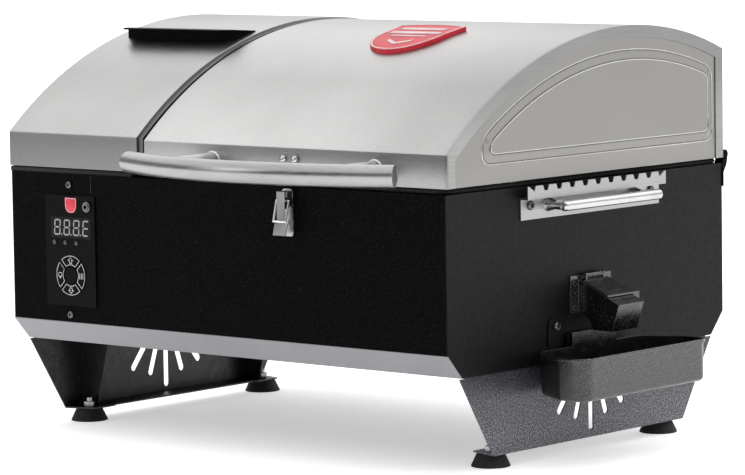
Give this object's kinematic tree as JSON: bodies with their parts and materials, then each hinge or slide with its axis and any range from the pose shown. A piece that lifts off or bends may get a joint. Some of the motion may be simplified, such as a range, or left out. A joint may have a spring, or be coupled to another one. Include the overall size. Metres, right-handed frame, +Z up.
{
  "type": "pellet smoker grill",
  "caption": "Portable wood pellet grill on short slotted legs: arched steel cooking lid, separate pellet lid, front controller, latch, side tool rack, grease chute and hanging drip tray.",
  "frame": {"origin": "centre of the whole grill's bounding box, on the surface its feet stand on", "axes": "+X to the drip tray's side, which is the operator's right; +Y to the hinges at the back; +Z up"},
  "size_m": [0.669, 0.537, 0.4035],
  "materials": {
    "stainless_lid": "brushed satin",
    "stainless_end": "fine satin",
    "stainless_bright": "satin",
    "chrome_trim": "polished",
    "zinc_steel": "zinc plated",
    "black_enamel": "fine textured black powder coat",
    "hammer_black": "coarse hammered black powder coat",
    "silver_paint": "satin silver paint",
    "red_enamel": "glossy red enamel",
    "black_screw": "black oxide",
    "inner_steel": "high heat matt paint",
    "porcelain_wire": "porcelain enamel",
    "panel_black": "smooth overlay",
    "window_dark": "tinted window",
    "black_plastic": "moulded",
    "black_rubber": "moulded",
    "rope": "braided glass fibre",
    "galvanised": "galvanised"
  },
  "bodies": {
    "grill_body": {"floor_pan": "black_enamel", "front_panel": "black_enamel", "back_panel": "black_enamel", "left_side_panel": "black_enamel", "right_side_panel": "black_enamel", "front_trim_strip": "silver_paint", "divider_wall": "inner_steel", "rim_seals": "rope", "hinge_brackets": "black_enamel", "latch_base": "zinc_steel", "control_faceplate": "panel_black", "display_and_lamps": "window_dark", "probe_jack": "chrome_trim", "controller_box": "black_plastic", "tool_rack": "stainless_bright", "side_handle_bars": "chrome_trim", "side_handle_posts": "chrome_trim", "grease_chute": "hammer_black", "tray_hanger": "black_enamel", "left_leg": "hammer_black", "right_leg": "hammer_black", "rubber_feet": "black_rubber", "foot_studs": "zinc_steel", "cabinet_screws": "black_screw", "hopper_bin": "galvanised", "hopper_guard": "zinc_steel", "auger_tube": "galvanised", "auger_motor": "galvanised", "fan_housing": "galvanised", "burn_pot": "inner_steel", "igniter_rod": "stainless_bright", "heat_baffle": "inner_steel", "grease_pan": "inner_steel", "grate_rests": "inner_steel", "temperature_probe": "stainless_bright", "power_inlet": "black_plastic"},
    "main_lid": {"main_lid_skin": "stainless_lid", "main_lid_ends": "stainless_end", "main_hinge_leaves": "black_enamel", "lid_handle_tube": "stainless_bright", "lid_handle_posts": "chrome_trim", "lid_handle_caps": "black_plastic", "badge": "red_enamel", "latch_catch": "stainless_bright"},
    "hopper_lid": {"hopper_lid_skin": "stainless_lid", "hopper_lid_ends": "stainless_end", "hopper_lid_lip": "black_enamel", "hopper_hinge_leaves": "black_enamel"},
    "latch_lever": {"latch_lever": "zinc_steel"},
    "latch_bail": {"latch_bail": "chrome_trim"},
    "drip_tray": {"drip_tray": "hammer_black"},
    "chute_flap": {"chute_flap": "hammer_black"},
    "auger": {"auger_screw": "galvanised"},
    "fan_wheel": {"fan_impeller": "galvanised"},
    "grate": {"cooking_grate": "porcelain_wire"},
    "right_key": {"key_right": "panel_black"},
    "up_key": {"key_up": "panel_black"},
    "left_key": {"key_left": "panel_black"},
    "down_key": {"key_down": "panel_black"},
    "centre_key": {"key_centre": "panel_black"}
  },
  "joints": [
    {"name": "main_lid_hinge", "type": "hinge", "parent": "grill_body", "child": "main_lid", "pos_m": [-0.02355, 0.264, 0.2675], "axis": [-1, 0, 0], "range_deg": [0, 90]},
    {"name": "hopper_lid_hinge", "type": "hinge", "parent": "grill_body", "child": "hopper_lid", "pos_m": [-0.02355, 0.264, 0.2675], "axis": [-1, 0, 0], "range_deg": [0, 85]},
    {"name": "latch_lever_pivot", "type": "hinge", "parent": "grill_body", "child": "latch_lever", "pos_m": [0.06545, -0.177, 0.252], "axis": [-1, 0, 0], "range_deg": [0, 75]},
    {"name": "latch_bail_pivot", "type": "hinge", "parent": "latch_lever", "child": "latch_bail", "pos_m": [0.06545, -0.1785, 0.2465], "axis": [-1, 0, 0], "range_deg": [0, 105]},
    {"name": "drip_tray_lift", "type": "slide", "parent": "grill_body", "child": "drip_tray", "axis": [0, 0, 1], "range_m": [0, 0.008]},
    {"name": "chute_flap_hinge", "type": "hinge", "parent": "grill_body", "child": "chute_flap", "pos_m": [0.26085, 0.042, 0.1684], "axis": [0, -1, 0], "range_deg": [0, 105]},
    {"name": "auger_spin", "type": "hinge", "parent": "grill_body", "child": "auger", "pos_m": [-0.02355, 0.044, 0.135], "axis": [1, 0, 0], "continuous": true},
    {"name": "fan_spin", "type": "hinge", "parent": "grill_body", "child": "fan_wheel", "pos_m": [-0.19855, 0.194, 0.096], "axis": [0, 0, 1], "continuous": true},
    {"name": "grate_lift", "type": "slide", "parent": "grill_body", "child": "grate", "axis": [0, 0, 1], "range_m": [0, 0.05]},
    {"name": "right_key_press", "type": "slide", "parent": "grill_body", "child": "right_key", "axis": [0, 1, 0], "range_m": [0, 0.001], "stiffness_N_per_m": 400},
    {"name": "up_key_press", "type": "slide", "parent": "grill_body", "child": "up_key", "axis": [0, 1, 0], "range_m": [0, 0.001], "stiffness_N_per_m": 400},
    {"name": "left_key_press", "type": "slide", "parent": "grill_body", "child": "left_key", "axis": [0, 1, 0], "range_m": [0, 0.001], "stiffness_N_per_m": 400},
    {"name": "down_key_press", "type": "slide", "parent": "grill_body", "child": "down_key", "axis": [0, 1, 0], "range_m": [0, 0.001], "stiffness_N_per_m": 400},
    {"name": "centre_key_press", "type": "slide", "parent": "grill_body", "child": "centre_key", "axis": [0, 1, 0], "range_m": [0, 0.001], "stiffness_N_per_m": 400}
  ]
}
